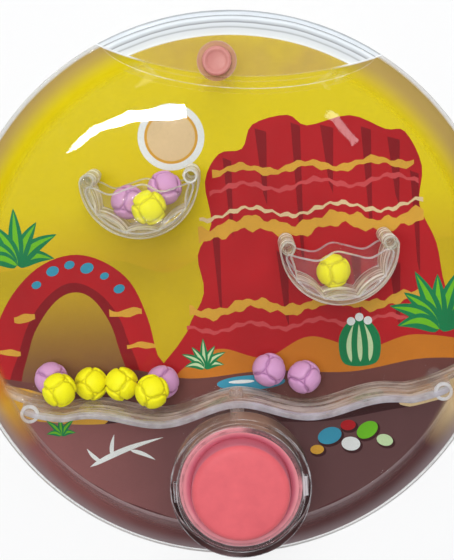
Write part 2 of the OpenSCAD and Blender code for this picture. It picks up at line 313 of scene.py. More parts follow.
def revolve(bm, outline, at, turns, slot=0):
    """Turns a closed outline of (radius, height) in mm round the Z axis through a point in metres."""
    rings = []
    for r, z in outline:
        count = turns if r > 0 else 1
        angles = [2 * math.pi * k / count for k in range(count)]
        rings.append([
            bm.verts.new((at[0] + r * MM * math.cos(a), at[1] + r * MM * math.sin(a), z * MM)) for a in angles
        ])
    for a, b in zip(rings, rings[1:] + rings[:1]):
        for k in range(turns):
            n = (k + 1) % turns
            # a ring on the axis is one point; two of those make no face
            corners = dict.fromkeys((a[k % len(a)], a[n % len(a)], b[n % len(b)], b[k % len(b)]))
            if len(corners) > 2:
                bm.faces.new(tuple(corners)).material_index = slot
    bmesh.ops.recalc_face_normals(bm, faces=bm.faces)


def slab(bm, outline, low, high, edge, wall_slot, cap_slot, edge_slot):
    """An outline in mm, counter-clockwise, raised from low to high with rounded edges."""
    points = [Vector(p) for p in outline]
    count = len(points)
    outward = []
    for i in range(count):
        a, b = points[i] - points[i - 1], points[(i + 1) % count] - points[i]
        n = (Vector((a.y, -a.x)).normalized() + Vector((b.y, -b.x)).normalized()).normalized()
        outward.append(n)
    turns = [math.radians(a) for a in (0, 30, 60, 90)]
    levels = [(edge * (1 - math.sin(a)), low + edge * (1 - math.cos(a))) for a in turns]
    levels += [(inset, high + low - z) for inset, z in reversed(levels)]
    rings = []
    for inset, z in levels:
        rings.append([
            bm.verts.new(((p.x - n.x * inset) * MM, (p.y - n.y * inset) * MM, z * MM))
            for p, n in zip(points, outward)
        ])
    for i, (lower, upper) in enumerate(zip(rings, rings[1:])):
        for k in range(count):
            n = (k + 1) % count
            face = bm.faces.new((lower[k], lower[n], upper[n], upper[k]))
            face.material_index = wall_slot if i == len(turns) - 1 else edge_slot
    bm.faces.new(rings[0][::-1]).material_index = cap_slot
    bm.faces.new(rings[-1]).material_index = cap_slot


# Inks of the picture card, as sRGB tones. Sky and earth fade: theirs here are middle tones.

INK_TONES = {
    "sky": (220, 198, 20), "red": (186, 24, 32), "deep_red": (140, 14, 24), "gold": (222, 166, 58),
    "ochre": (206, 176, 20), "earth": (121, 76, 77), "sand": (230, 200, 152), "orange": (206, 122, 32),
    "green": (20, 130, 76), "lime": (112, 192, 34), "teal": (60, 154, 182), "white": (238, 240, 236),
    "pale_green": (200, 224, 172), "dark": (66, 30, 32), "brown": (112, 64, 58), "pale_red": (208, 76, 78),
}
SKY_STOPS = [
    (-0.062, (86, 44, 46)), (-0.034, (106, 60, 58)), (-0.024, (118, 74, 58)), (-0.012, (152, 112, 44)),
    (0.004, (200, 162, 26)), (0.022, (220, 196, 14)), (0.062, (226, 204, 22)),
]
EARTH_ENDS = ((148, 92, 90), (98, 64, 64))
EARTH_LEFT, EARTH_RIGHT = -46, -6
INK_NAMES = list(INK_TONES)


def earth_at(x):
    """Ground colour under the shelf: redder and lighter on the left."""
    t = min(max((x - EARTH_LEFT) / (EARTH_RIGHT - EARTH_LEFT), 0), 1)
    return tuple(a + (b - a) * t for a, b in zip(*EARTH_ENDS))


def sky_at(y):
    """The sky's linear colour at a height on the card."""
    for (low, dark), (high, light) in zip(SKY_STOPS, SKY_STOPS[1:]):
        if y <= high:
            t = max(0.0, (y - low) / (high - low))
            return tuple(a + (b - a) * t for a, b in zip(linear(*dark), linear(*light)))
    return linear(*SKY_STOPS[-1][1])


PRINT_R = CARD_R / MM - 0.05
PRINT_Z = CARD_HIGH.z - 0.03 * MM


def smooth_loop(points, steps=8):
    """A closed Catmull-Rom curve through the points."""
    out = []
    count = len(points)
    for i in range(count):
        p0, p1, p2, p3 = (Vector(points[(i + k) % count]) for k in (-1, 0, 1, 2))
        for s in range(steps):
            t = s / steps
            out.append(0.5 * (
                2 * p1 + (p2 - p0) * t + (2 * p0 - 5 * p1 + 4 * p2 - p3) * t * t
                + (3 * p1 - p0 - 3 * p2 + p3) * t ** 3
            ))
    return out


class Print:
    """Ink shapes in mm, later ones over earlier ones, cut into one flat sheet without overlaps."""

    def __init__(self):
        self.shapes = []
        self.disc("sky", 0, 0, PRINT_R, count=160)

    def shape(self, colour, points):
        loop = []
        for p in points:
            r = math.hypot(p[0], p[1])
            keep = min(1, (PRINT_R - 0.05) / r) if r > 0 and self.shapes else 1
            loop.append(Vector((p[0] * keep, p[1] * keep)))
        area = sum(a.x * b.y - b.x * a.y for a, b in zip(loop, loop[1:] + loop[:1]))
        self.shapes.append((colour, loop if area > 0 else loop[::-1]))

    def curve(self, colour, points, steps=8):
        self.shape(colour, smooth_loop(points, steps))

    def disc(self, colour, x, y, r, squash=1.0, turn=0.0, count=40):
        loop = []
        for k in range(count):
            a = 2 * math.pi * k / count
            u, v = r * math.cos(a), r * squash * math.sin(a)
            c, s = math.cos(math.radians(turn)), math.sin(math.radians(turn))
            loop.append((x + u * c - v * s, y + u * s + v * c))
        self.shape(colour, loop)

    def leaf(self, colour, base, tip, width, bend):
        """A pointed leaf from base to tip, widest a third of the way along."""
        a, b = Vector(base), Vector(tip)
        along = b - a
        across = Vector((-along.y, along.x)).normalized()
        left, right = [], []
        for k in range(13):
            t = k / 12
            mid = a + along * t + across * bend * math.sin(math.pi * t)
            w = width * math.sin(math.pi * t ** 0.7) ** 0.8 if 0 < t < 1 else 0.02
            left.append(mid + across * w / 2)
            right.append(mid - across * w / 2)
        self.shape(colour, left + right[::-1])

    def band(self, colour, left, right, middle, width, wave=0.5, length=14):
        """A wavy stripe from x = left to x = right."""
        upper, lower = [], []
        steps = max(8, int(right - left))
        for k in range(steps + 1):
            x = left + (right - left) * k / steps
            y = middle + wave * math.sin(x * 2 * math.pi / length) + 0.3 * wave * math.sin(x * 1.7)
            w = width * (0.75 + 0.25 * math.sin(x * 0.9 + middle))
            upper.append((x, y + w / 2))
            lower.append((x, y - w / 2))
        self.shape(colour, lower + upper[::-1])

    def rosette(self, x, y, size, leaves, dark, light):
        """A low plant with a fan of pointed leaves, each with a light half."""
        for k in range(leaves):
            a = math.radians(8 + 164 * k / (leaves - 1))
            far = size * (0.72 + 0.28 * math.sin(a)) * (1 if k % 2 else 0.86)
            tip = (x + far * math.cos(a), y + far * math.sin(a))
            light_tip = (x + 0.94 * (tip[0] - x), y + 0.94 * (tip[1] - y))
            bend = 0.1 * size * math.cos(a)
            self.leaf(dark, (x, y), tip, size * 0.26, bend)
            self.leaf(light, (x, y), light_tip, size * 0.1, bend * 1.1)

    def tone_at(self, x, y):
        """The linear colour of the top ink at a point."""
        for name, loop in reversed(self.shapes):
            inside = False
            for a, b in zip(loop, loop[1:] + loop[:1]):
                if (a.y > y) != (b.y > y) and x < (b.x - a.x) * (y - a.y) / (b.y - a.y) + a.x:
                    inside = not inside
            if inside:
                if name == "sky":
                    return sky_at(y * MM)
                return linear(*(earth_at(x) if name == "earth" else INK_TONES[name]))
        return sky_at(y * MM)

    def build(self):
        """The sheet as a bmesh at the print's height, each face in its top ink's slot."""
        points, faces = [], []
        for _, loop in self.shapes:
            faces.append(list(range(len(points), len(points) + len(loop))))
            points += loop
        verts, _, tris, _, _, owners = delaunay_2d_cdt(points, [], faces, 1, 0.001, True)
        bm = bmesh.new()
        made = [bm.verts.new((v.x * MM, v.y * MM, PRINT_Z)) for v in verts]
        for tri, owner in zip(tris, owners):
            if 0 not in owner:
                continue
            face = bm.faces.new([made[i] for i in tri])
            face.normal_update()
            if face.normal.z < 0:
                face.normal_flip()
            face.material_index = INK_NAMES.index(self.shapes[max(owner)][0])
        for v in [v for v in bm.verts if not v.link_faces]:
            bm.verts.remove(v)
        return bm


def draw_canyon():
    """A canyon scene: red rocks with gold layers, desert plants, a pool and scattered stones."""
    card = Print()
    draw_rocks(card)
    draw_ground(card)
    draw_plants(card)
    return card


def draw_rocks(card):
    # far hills and a pale sun
    card.curve("ochre", [
        (-66, -20), (-66, 2), (-54, 7), (-42, 3), (-30, 8), (-16, 4), (-2, 9), (20, 5), (66, 8), (66, -20),
    ])
    for colour, size in (("white", 8.6), ("gold", 6.9), ("sand", 6.2)):
        card.disc(colour, -13, 39, size)
    # great rock on the right
    card.curve("red", [
        (-15, -27), (-12, -12), (-7, -2), (-8, 8), (-4, 16), (-5, 27), (-1, 34), (5, 35), (8, 41), (17, 43),
        (22, 40), (33, 42), (42, 38), (47, 37), (51, 28), (50, 18), (54, 8), (56, -4), (61, -14), (64, -27),
    ], 4)
    for x, top, foot, width in (
        (1, 33, 12, 2.2), (10, 40, 20, 3), (19, 41, 4, 2.4), (27, 40, 22, 3.4), (37, 39, 12, 2.6),
        (44, 36, 18, 3.2), (49, 27, 0, 2.2), (-3, 14, -8, 2), (14, 8, -12, 3), (33, 6, -10, 2.6),
        (43, 4, -14, 3),
    ):
        left, right = x - width / 2, x + width / 2
        card.shape("deep_red", [(left, top), (right, top - 1), (x + 0.25 * width, foot), (x - 0.1, foot + 3)])
    for colour, left, right, middle, width, wave, length in (
        ("gold", -7.5, 51, 14.5, 4.4, 1.3, 23), ("sand", -7, 51, 18.4, 1.2, 1.3, 23),
        ("gold", -3, 49, 29.5, 2.2, 0.9, 17), ("pale_red", -4, 50, 25, 1.5, 1.1, 19),
        ("gold", -11, 56, -6.5, 3.2, 1.2, 21), ("pale_red", -12, 57, -11.5, 1.4, 1.0, 18),
    ):
        card.band(colour, left, right, middle, width, wave, length)
    # arch on the left
    card.curve("red", [
        (-65, -28), (-63, -12), (-58, -1), (-50, 7), (-41, 10), (-33, 8), (-26, 2), (-22, -8), (-20, -18),
        (-16, -28),
    ], 5)
    card.curve("deep_red", [
        (-58, -28), (-56, -14), (-51, -4), (-44, 2), (-38, 2), (-32, -3), (-28, -12), (-27, -28),
    ], 5)
    card.curve("sky", [
        (-55, -28), (-53.5, -14), (-49, -5.5), (-43.5, -0.5), (-38, -0.5), (-33.5, -5.5), (-30.5, -14),
        (-30, -28),
    ], 5)
    for left, right, middle, width in (
        (-57, -51.5, -6, 2.4), (-32, -23.5, -6, 2.4), (-62, -56, -15, 1.8), (-28, -20.5, -15, 1.8),
    ):
        card.band("gold", left, right, middle, width, 0.3, 9)
    for x, y, r in (
        (-46, 6, 1.7), (-41.5, 7.4, 1.4), (-37, 6.3, 1.8), (-50.5, 2.6, 1.3), (-32.6, 4, 1.2),
        (-29, 0.4, 1.5),
    ):
        card.disc("teal", x, y, r, 0.75, 20)


def draw_ground(card):
    """Slopes at the rocks' feet, and the ground below the shelf."""
    card.curve("orange", [
        (-20, -30), (-14, -22), (-4, -17), (8, -20), (20, -15), (34, -19), (48, -16), (66, -21), (66, -34),
        (-20, -34),
    ])
    card.curve("brown", [
        (-66, -34), (-66, -22), (-48, -24), (-30, -21), (-12, -24.5), (8, -23.5), (30, -25), (50, -22.5),
        (66, -25), (66, -34),
    ])
    card.curve("dark", [
        (-66, -66), (-66, -31), (-44, -30), (-20, -33), (0, -30.5), (26, -33), (48, -30), (66, -32),
        (66, -66),
    ])
    card.curve("gold", [
        (-66, -37), (-66, -24), (-57, -24.5), (-48, -27.5), (-38, -31), (-34, -34), (-40, -36.5),
    ])
    card.curve("sand", [(66, -37), (66, -25), (58, -26), (52, -29), (46, -32), (44, -35)])
    card.curve("earth", [
        (-66, -66), (-66, -32.5), (-52, -34), (-38, -35.5), (-12, -35), (20, -38), (44, -35.5), (66, -35),
        (66, -66),
    ])


def draw_plants(card):
    """Plants, a cactus in flower and a pool, then stones and a dry twig below the shelf."""
    card.rosette(54, -15, 17, 9, "green", "lime")
    card.rosette(-55, 8, 15, 7, "green", "lime")
    card.rosette(-8, -22, 8, 7, "green", "pale_green")
    card.curve("green", [
        (29, -23), (27.5, -17), (29.5, -12.5), (33, -11), (36.5, -12.5), (38.5, -17), (37, -23),
    ], 6)
    for k in (-1, 0, 1):
        card.leaf("pale_green", (33 + 2.4 * k, -22.5), (33 + 1.4 * k, -12.4), 1.3, -0.9 * k)
    for x, y in ((31, -11.6), (33.2, -10.6), (35.4, -11.6)):
        card.disc("white", x, y, 1.1)
    card.disc("teal", 4, -26.5, 9, 0.22)
    card.disc("white", 1.5, -26.1, 3.4, 0.14)
    for x, y, r, squash, turn, colour in (
        (24, -42, 3.2, 0.7, 15, "teal"), (29.5, -44.5, 2.5, 0.75, -10, "white"),
        (34, -41, 3.0, 0.7, 30, "lime"), (29, -39.4, 2.0, 0.7, 0, "red"),
        (38.5, -44, 2.2, 0.7, -20, "pale_green"), (20.5, -45.6, 1.8, 0.7, 0, "gold"),
    ):
        card.disc("dark", x + 0.3, y - 0.5, r + 0.35, squash, turn)
        card.disc(colour, x, y, r, squash, turn)
    card.leaf("white", (-40, -47), (-20, -40), 1.5, 0.8)
    for foot, tip in (
        ((-34, -44.6), (-33, -38.5)), ((-29, -43), (-22.5, -46)), ((-37, -45.8), (-40.5, -42)),
    ):
        card.leaf("white", foot, tip, 1.1, 0.3)
    card.rosette(-47, -38, 6, 5, "green", "lime")


# Clear plastics

PRINT = draw_canyon()
PLASTIC_IOR = 1.45
# colour of the painted shade where the clear collar and ring bend the light away
BEND_SHADE = (0.07, 0.045, 0.045)
# the pocket round the filler port ends at a round wall, a little turned from the case's own axis
POCKET_TURN = math.radians(5.4)
POCKET_FOOT, POCKET_R = 53.8 * MM, 100 * MM
POCKET_CENTRE = [(POCKET_FOOT + POCKET_R) * f(POCKET_TURN) for f in (math.sin, math.cos)]
PLUG_AT = (PLUG_LOW + PLUG_HIGH) / 2
RIM_STOPS = 31
RIM_SAMPLE_R = PRINT_R * 0.985
# painted light and shade over the pocket's deck: pale and dark bands by radius in mm, with their tint and
# lightness
BAND_START, BAND_END = 63, 70
BAND_TINT = (0.92, 0.96, 1)
BAND_TONES = (
    (63.4, 0.9), (64.0, 1.0), (64.6, 0.9), (65.5, 0.84), (65.8, 0.5), (66.1, 0.8), (66.8, 0.9), (67.0, 0.36),
    (67.3, 0.62), (68.0, 1.0), (68.4, 0.9), (68.6, 0.4), (68.9, 0.9), (69.5, 0.9), (69.8, 0.5),
)
# tones of the painted sheen over the case's edge, below and above
LOWER_SHEEN, UPPER_SHEEN = (0.46, 0.37, 0.38), linear(188, 156, 108)
# pale grey of the painted light along the case's very edge
CASE_EDGE_LIGHT = (0.7, 0.69, 0.68)


def clear_surface(tree, tint, shine, rough, ripple, normal=None):
    """See-through face with part of a Fresnel shine over it."""
    clear = plain_shader(tree, "Transparent", tint)
    uneven = cloudy(tree, 900, 3, rough, rough * 1.6)
    ripples = bump(tree, noise_node(tree, 55, 2), ripple, 0.6 * MM)
    if normal:
        tree.links.new(normal, ripples.node.inputs["Normal"])
    gloss = add_node(tree, "BsdfGlossy", Color=(1, 1, 1), Roughness=uneven, Normal=ripples).outputs["BSDF"]
    # from inside the plastic, the bend of the light is the other way round
    back = add_node(tree, "NewGeometry").outputs["Backfacing"]
    bend = times_plus(tree, back, 1 / PLASTIC_IOR - PLASTIC_IOR, PLASTIC_IOR)
    fresnel = add_node(tree, "Fresnel", IOR=bend).outputs["Fac"]
    return mix_shaders(tree, times(tree, fresnel, shine), clear, gloss)


def edge_line(tree, width):
    """A bevelled normal, and how close a point is to a sharp edge, from the bend of that bevel."""
    bevel = add_node(tree, "Bevel", Radius=width)
    bevel.samples = 4
    flat = add_node(tree, "NewGeometry")
    dot = add_node(tree, "VectorMath")
    dot.operation = "DOT_PRODUCT"
    tree.links.new(bevel.outputs["Normal"], dot.inputs[0])
    tree.links.new(flat.outputs["Normal"], dot.inputs[1])
    return bevel.outputs["Normal"], smooth_step(tree, dot.outputs["Value"], 0.985, 0.9)


def card_tone(tree, x, y):
    """The card's colour at its rim, by direction from the middle."""
    place = times_plus(tree, maths(tree, "ARCTAN2", y, x), 0.5 / math.pi, 0.5)
    stops = []
    for i in range(RIM_STOPS + 1):
        a = (i / RIM_STOPS - 0.5) * 2 * math.pi
        tone = PRINT.tone_at(RIM_SAMPLE_R * math.cos(a), RIM_SAMPLE_R * math.sin(a))
        stops.append((i / RIM_STOPS, tone))
    return ramp_node(tree, place, stops)


def pocket_bands(tree, radius):
    """Pale and dark bands that the pocket's deck shows, by radius: painted light and shade of the clear rim
    under the deck.
    """
    wobble = times_plus(tree, noise_node(tree, 90, 2), 0.5 * MM, -0.25 * MM)
    place = spread(tree, maths(tree, "ADD", radius, wobble), 0, 1, BAND_START * MM, BAND_END * MM)
    width = BAND_END - BAND_START
    stops = [((r - BAND_START) / width, tuple(c * light for c in BAND_TINT)) for r, light in BAND_TONES]
    return ramp_node(tree, place, stops)


def edge_tone(tree, x, y, radius, pocket):
    """The case's edge: the card's colours under a painted sheen and a little painted shade, painted light
    along its very edge, and the painted bands past the pocket.
    """
    streaks = cloudy(tree, 120, 3, 0.0, 0.25)
    card = card_tone(tree, x, y)
    lighter = mix_colour(tree, streaks, card, card, "SCREEN")
    # painted sheen over the edge: tan above, grey-pink below, reaching 2 mm further in at the upper right
    upper = step_mm(tree, y, -5, 15)
    right = times(tree, step_mm(tree, x, 5, 35), upper)
    reach = times_plus(tree, right, 2 * MM, radius)
    painted_sheen = times(tree, step_mm(tree, reach, 61.8, 68.2), 0.78)
    tone = mix_colour(tree, painted_sheen, lighter, mix_colour(tree, upper, LOWER_SHEEN, UPPER_SHEEN))
    # painted shade: the edge's colours a little darker, like the card under the clear layers
    tone = mix_colour(tree, 0.06, tone, (0.02, 0.01, 0.01))
    # painted light along the case's very edge
    tone = mix_colour(tree, step_mm(tree, radius, 68.8, 69.6), tone, CASE_EDGE_LIGHT)
    return mix_colour(tree, pocket, tone, pocket_bands(tree, radius))


def shell_layers(tree, x, y, radius, shine, normal=None):
    """The shell's clear face, its coloured body, and the pocket's mask."""
    calm = smooth_step(tree, radius, CARD_R - 3 * MM, CARD_R)
    strength = times_plus(tree, calm, -0.6 * shine, shine)
    clear = clear_surface(tree, (0.995, 0.997, 0.997), strength, 0.012, 0.07, normal)
    from_centre = distance_from(tree, x, y, POCKET_CENTRE)
    pocket = smooth_step(tree, from_centre, POCKET_R + 0.4 * MM, POCKET_R - 0.4 * MM)
    return clear, milky_body(tree, edge_tone(tree, x, y, radius, pocket), 0.25), pocket


def pocket_marks(tree, surface, x, y, radius, pocket):
    """A painted reflection of the room in the pocket's floor, a painted highlight as a white line along its
    wall, and the plug's pink in its boss.
    """
    # painted reflection of the room on the pocket's floor
    floor_part = times(tree, pocket, step_mm(tree, radius, 64, 63.7))
    cloud = cloudy(tree, 60, 2, 0.12, 0.3)
    surface = paint(tree, times(tree, floor_part, cloud), surface, linear(170, 128, 112))
    off_wall = maths(tree, "ABSOLUTE", minus(tree, distance_from(tree, x, y, POCKET_CENTRE), POCKET_R))
    # painted highlight: a white line along the pocket's wall
    line = step_mm(tree, off_wall, 0.28, 0.12)
    line = times(tree, line, step_mm(tree, radius, 61, 65), 0.8)
    surface = paint(tree, line, surface, (0.9, 0.92, 0.94))
    boss = step_mm(tree, distance_from(tree, x, y, PLUG_AT), 5.0, 4.8)
    pink = mottled(tree, 300, 2, linear(200, 154, 130), linear(188, 128, 118))
    return paint(tree, times(tree, boss, 0.55), surface, pink)


def collar_bends(tree, surface, x, y, collar, facing):
    """Painted shade: dark bends in the wall of the pump's collar, turning tan towards the middle of the case.
    """
    across, up = minus(tree, x, PUMP_AT.x), minus(tree, y, PUMP_AT.y)
    steep = smooth_step(tree, facing, 0.35, 0.65)
    leftwards = times_plus(tree, step_mm(tree, across, 11, 6), 0.7, 0.3)
    inward = times(tree, step_mm(tree, up, 4, 13), leftwards)
    patches = cloudy(tree, 75, 2, 0.2, 0.95, 0.35, 0.6)
    # painted shade, strongest to the right of the pump and on its upper side
    shaded = times(tree, step_mm(tree, across, 5, 9), step_mm(tree, up, -4, 0), 0.85)
    patches = maths(tree, "MAXIMUM", patches, shaded)
    fade = times_plus(tree, inward, -0.4, 1.0)
    dark = times(tree, collar, steep, patches, fade, seen_from_above(tree, 0.7, 0.92))
    return paint(tree, dark, surface, mix_colour(tree, inward, BEND_SHADE, linear(196, 156, 132)))


def edge_glints(tree, surface, x, y, z, collar, line):
    """Painted glints: pale lines along the sharp edges of the collar and the pocket, brightest at the top."""
    high = step_mm(tree, z, 15, 25)
    past_wall = minus(tree, distance_from(tree, x, y, POCKET_CENTRE), POCKET_R)
    near = step_mm(tree, past_wall, 4, 2.5)
    broken = cloudy(tree, 260, 3, 0.0, 0.85)
    glints = times_plus(tree, near, 0.3, broken)
    glints = times(tree, glints, times_plus(tree, high, 0.75, 0.2))
    amount = times(tree, line, maths(tree, "MAXIMUM", collar, near), glints)
    return paint(tree, amount, surface, (0.84, 0.86, 0.88))


def dome_plastic():
    """The front shell: clear, with colour and a painted sheen on its outer slope, painted light and shade on
    the pocket and the collar, and painted glints along sharp edges.
    """
    mat, tree = new_material("clear_shell")
    x, y, z = axes_of(tree)
    radius = distance_from(tree, x, y, (0, 0))
    facing = facing_of(tree)
    normal, line = edge_line(tree, 0.45 * MM)
    clear, body, pocket = shell_layers(tree, x, y, radius, shine=0.45, normal=normal)
    beyond = smooth_step(tree, radius, CARD_R - 6.6 * MM, CARD_R - 2.4 * MM)
    edge_on = smooth_step(tree, facing, 0.06, 0.2)
    print_part = times(tree, beyond, seen_from_above(tree), edge_on, 0.96)
    deck = times(tree, step_mm(tree, radius, 63.7, 64.1), 0.85)
    amount = times_plus(tree, pocket, minus(tree, deck, print_part), print_part)
    surface = mix_shaders(tree, amount, clear, body)
    surface = pocket_marks(tree, surface, x, y, radius, pocket)
    collar = step_mm(tree, distance_from(tree, x, y, PUMP_AT), 18.0, 17.6)
    surface = collar_bends(tree, surface, x, y, collar, facing)
    return surfaced(mat, edge_glints(tree, surface, x, y, z, collar, line))


def tray_plastic():
    """The back tray: clear, with the edge's colour where it shows past the card."""
    mat, tree = new_material("clear_tray")
    x, y, _ = axes_of(tree)
    radius = distance_from(tree, x, y, (0, 0))
    clear, body, _ = shell_layers(tree, x, y, radius, shine=0.25)
    normal = add_node(tree, "TexCoord").outputs["Normal"]
    up = smooth_step(tree, axes_of(tree, normal)[2], 0.3, 0.6)
    near = smooth_step(tree, radius, CARD_R + 1.2 * MM, CARD_R + 0.9 * MM)
    beyond = smooth_step(tree, radius, CARD_R - 0.15 * MM, CARD_R)
    amount = times(tree, beyond, seen_from_above(tree), maths(tree, "MAXIMUM", up, near), 0.96)
    return surfaced(mat, mix_shaders(tree, amount, clear, body))


def bent_clear(tree, bend, shine):
    """Clear plastic of which a share bends the light that passes."""
    clear = clear_surface(tree, (0.985, 0.985, 0.985), shine, 0.03, 0.25)
    glass = add_node(
        tree, "BsdfGlass", IOR=PLASTIC_IOR, Color=(0.99, 0.99, 0.99),
        Roughness=cloudy(tree, 700, 3, 0.02, 0.08),
        Normal=bump(tree, noise_node(tree, 220, 3), 0.4, 0.4 * MM),
    )
    return mix_shaders(tree, bend, clear, glass.outputs["BSDF"])


def moulded_clear(
    name, white, edge_white, bend, shine=1.0, pale=(0.9, 0.9, 0.92), layers=None, front=None, lug_x=None,
):
    """Clear moulding with a milky share that grows towards its edge-on faces.

    layers is the tone of long level bands along its walls, front that of its front edge, made paler as
    painted light carried along the wall, and lug_x is where a ring round the pump ends and its lug begins,
    painted whiter as a glint.
    """
    mat, tree = new_material(name)
    clear = bent_clear(tree, bend, shine)
    milky = milky_body(tree, mottled(tree, 160, 3, pale, tuple(c * 0.86 for c in pale)), 0.5)
    edge = smooth_step(tree, facing_of(tree), 0.35, 0.95)
    cloud = cloudy(tree, 170, 3, 0.6, 1.45)
    amount = times(tree, times_plus(tree, edge, edge_white, white), cloud)
    x, y, z = axes_of(tree)
    if layers:
        bands = spread(tree, level_noise(tree, 420), 0.0, 1.0, 0.43, 0.57)
        milky = paint(tree, bands, milky, layers)
        # painted light: the top of the wall paler, towards its front edge
        if front:
            high = smooth_step(tree, z, SHELF_HIGH.z - 2.6 * MM, SHELF_HIGH.z - 2.0 * MM)
            milky = paint(tree, high, milky, front)
            bands = maths(tree, "MAXIMUM", bands, high)
        amount = times(tree, amount, times_plus(tree, bands, 0.9, 0.65))
    amount = times(tree, amount, times_plus(tree, seen_from_above(tree), 0.45, 0.55))
    # the lug is painted whiter, as a glint
    if lug_x:
        lug = smooth_step(tree, x, lug_x, lug_x + 0.3 * MM)
        amount = maths(tree, "MAXIMUM", amount, times(tree, lug, 0.68))
        # painted shade: a dark bend on the side of the ring away from the window
        right = step_mm(tree, minus(tree, x, PUMP_AT.x), 0, 5)
        upper = step_mm(tree, minus(tree, y, PUMP_AT.y), 0, 4)
        dark = times(tree, right, upper, 0.6, seen_from_above(tree, 0.7, 0.92))
        clear = paint(tree, dark, clear, BEND_SHADE)
    return surfaced(mat, mix_shaders(tree, amount, clear, milky))


# Opaque materials

def opaque(mat, tone, rough, uneven=(1500, 3), specular=0.3, grain=None):
    """A Principled surface. rough is low and high, uneven its noise, grain is scale, strength and depth."""
    tree = mat.node_tree
    shader = add_node(tree, "BsdfPrincipled", Base_Color=tone, Specular_IOR_Level=specular)
    tree.links.new(cloudy(tree, *uneven, *rough), shader.inputs["Roughness"])
    if grain:
        scale, strength, depth = grain
        tree.links.new(bump(tree, noise_node(tree, scale, 3), strength, depth), shader.inputs["Normal"])
    return surfaced(mat, shader.outputs["BSDF"])


def soft_rubber(name, colour, shade, rough, groove=None):
    """Matte rubber with a faint mottle, a fine grain and, on the balls, painted shade in the grooves."""
    mat, tree = new_material(name)
    tone = mottled(tree, 260, 5, colour, shade)
    # painted shade: the balls' grooves darker
    if groove:
        dip = add_node(tree, "Attribute")
        dip.attribute_name = "groove"
        tone = mix_colour(tree, dip.outputs["Fac"], tone, groove)
    return opaque(mat, tone, (rough - 0.06, rough + 0.08), grain=(3500, 0.25, 0.08 * MM))


def cap_rubber():
    """The pump cap's rubber: coral crown, mauve down its wall, paler on the flat rim."""
    mat, tree = new_material("coral_rubber")
    x, y, _ = axes_of(tree)
    radius = distance_from(tree, x, y, PUMP_AT)
    crown_r = (CROWN_HIGH.x - CROWN_LOW.x) / 2
    crown = mottled(tree, 200, 4, linear(228, 101, 108), linear(217, 94, 102))
    rim = mottled(tree, 200, 4, linear(230, 150, 157), linear(219, 136, 144))
    side = smooth_step(tree, radius, crown_r - 0.3 * MM, crown_r - 0.02 * MM)
    tone = mix_colour(tree, side, crown, linear(207, 112, 130))
    tone = mix_colour(tree, step_mm(tree, radius, 13.2, 14.2), tone, rim)
    return opaque(mat, tone, (0.5, 0.62), grain=(3000, 0.25, 0.1 * MM))


def cover_plastic():
    mat, tree = new_material("white_cover")
    tone = mottled(tree, 40, 4, linear(236, 236, 232), linear(228, 228, 222))
    return opaque(mat, tone, (0.3, 0.45), (700, 4), 0.5, (2500, 0.15, 0.06 * MM))


def ink(name):
    """A printed colour with the faint unevenness of print on card."""
    mat, tree = new_material("ink_" + name)
    x, y, _ = axes_of(tree)
    if name == "sky":
        low, high = SKY_STOPS[0][0], SKY_STOPS[-1][0]
        stops = [((height - low) / (high - low), linear(*colour)) for height, colour in SKY_STOPS]
        base = ramp_node(tree, spread(tree, y, 0, 1, low, high), stops)
    elif name == "earth":
        wander = times_plus(tree, noise_node(tree, 60, 2), 16 * MM, -8 * MM)
        across = spread(tree, maths(tree, "ADD", x, wander), 0, 1, EARTH_LEFT * MM, EARTH_RIGHT * MM)
        base = mix_colour(tree, across, linear(*EARTH_ENDS[0]), linear(*EARTH_ENDS[1]))
    else:
        tone = linear(*INK_TONES[name])
        base = mottled(tree, 45, 2, tone, tuple(c * 0.8 for c in tone))
    grain = cloudy(tree, 2200, 3, 0.0, 0.1)
    return opaque(mat, mix_colour(tree, grain, base, (0.05, 0.03, 0.02)), (0.5, 0.6), (300, 3), 0.12)


INKS = [ink(name) for name in INK_NAMES]
CLEAR_PLATE = moulded_clear("clear_plate", white=0.03, edge_white=0.05, bend=0.0, shine=0.04)
CLEAR_EDGE = moulded_clear(
    "clear_edge", white=0.44, edge_white=0.2, bend=0.1, shine=0.6, pale=(1.0, 0.98, 0.92),
)
CLEAR_LIP = moulded_clear("clear_lip", white=0.38, edge_white=0.1, bend=0.3, shine=1.2)
CLEAR_WALL = moulded_clear(
    "clear_wall", white=0.38, edge_white=0.14, bend=0.25, shine=0.8, pale=(0.9, 0.84, 0.66),
    layers=(1.0, 1.0, 0.94),
)
CLEAR_SIDE = moulded_clear(
    "clear_side", white=0.26, edge_white=0.1, bend=0.12, shine=1.2, pale=(0.7, 0.54, 0.38),
    layers=(0.76, 0.66, 0.6), front=(0.72, 0.72, 0.84),
)
# the shelf's front strip is pale: painted light carried along the wall to its edge
CLEAR_STRIP = moulded_clear(
    "clear_strip", white=0.56, edge_white=0.1, bend=0.2, shine=0.8, pale=(0.76, 0.75, 0.84),
)
# whiter eyelet rings: painted glints
CLEAR_EYELET = moulded_clear("clear_eyelet", white=0.6, edge_white=0.2, bend=0.1, pale=(0.95, 0.95, 0.97))
CLEAR_RING = moulded_clear(
    "clear_ring", white=0.03, edge_white=0.16, bend=0.08, shine=0.8,
    lug_x=node_box("cap_ring")[1].x - 1.3 * MM,
)
# peach milky tone: painted reflection of the pink rubber in the clear barrel
CLEAR_BARREL = moulded_clear(
    "clear_barrel", white=0.14, edge_white=0.16, bend=0.2, shine=0.8, pale=(0.66, 0.42, 0.38),
)
CLEAR_NOZZLE = moulded_clear("clear_nozzle", white=0.36, edge_white=0.25, bend=0.15, pale=(0.8, 0.66, 0.6))
CORAL = cap_rubber()
PLUG_PINK = soft_rubber("pink_plug", linear(210, 142, 132), linear(196, 124, 118), 0.45)
